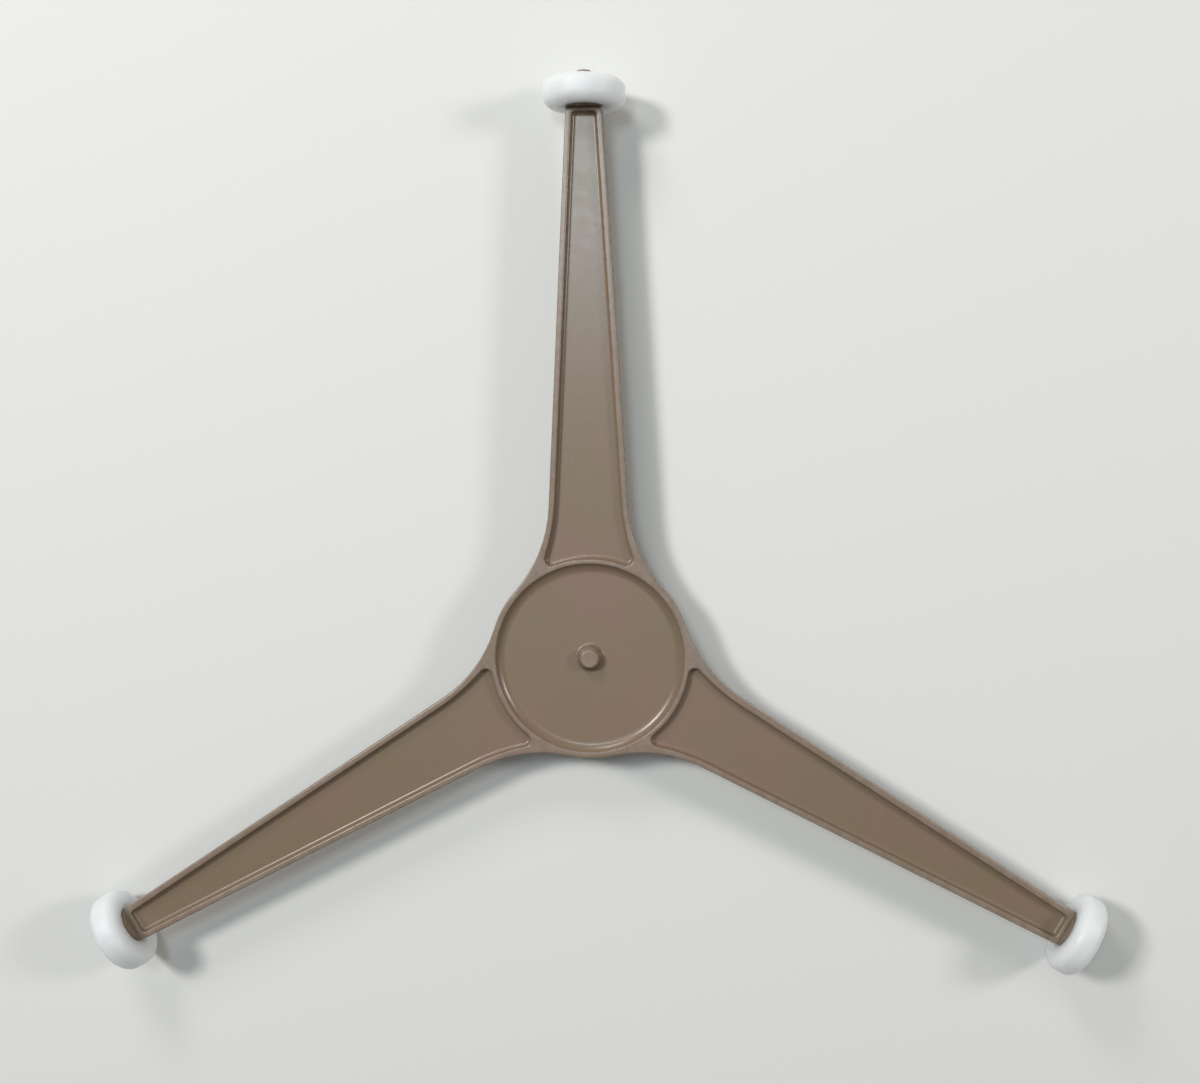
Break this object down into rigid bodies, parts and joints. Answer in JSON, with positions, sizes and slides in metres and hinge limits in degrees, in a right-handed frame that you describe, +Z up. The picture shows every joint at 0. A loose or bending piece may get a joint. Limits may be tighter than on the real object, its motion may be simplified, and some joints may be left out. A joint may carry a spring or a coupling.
{
  "type": "microwave turntable roller spider",
  "caption": "Flat moulded spider with channelled arms flaring into a dished round hub; plastic rollers on stub axles at the arm ends run on the oven floor and carry the glass tray.",
  "frame": {"origin": "on the hub axis, at the level of the oven floor that the rollers run on", "axes": "+Z up along the hub axis towards the glass tray, +Y along the first arm"},
  "size_m": [0.2164, 0.1898, 0.0172],
  "materials": {
    "taupe_plastic": "semi-matt, as moulded",
    "white_plastic": "smooth and slightly waxy"
  },
  "bodies": {
    "frame": {"spider_frame": "taupe_plastic"},
    "roller_1": {"roller_1": "white_plastic"},
    "roller_2": {"roller_2": "white_plastic"},
    "roller_3": {"roller_3": "white_plastic"}
  },
  "joints": [
    {"name": "roller_1_spin", "type": "hinge", "parent": "frame", "child": "roller_1", "pos_m": [0, 0.118, 0.00862], "axis": [0, 1, 0], "continuous": true},
    {"name": "roller_2_spin", "type": "hinge", "parent": "frame", "child": "roller_2", "pos_m": [0.10219, -0.059, 0.00862], "axis": [0.866, -0.5, 0], "continuous": true},
    {"name": "roller_3_spin", "type": "hinge", "parent": "frame", "child": "roller_3", "pos_m": [-0.10219, -0.059, 0.00862], "axis": [-0.866, -0.5, 0], "continuous": true}
  ]
}
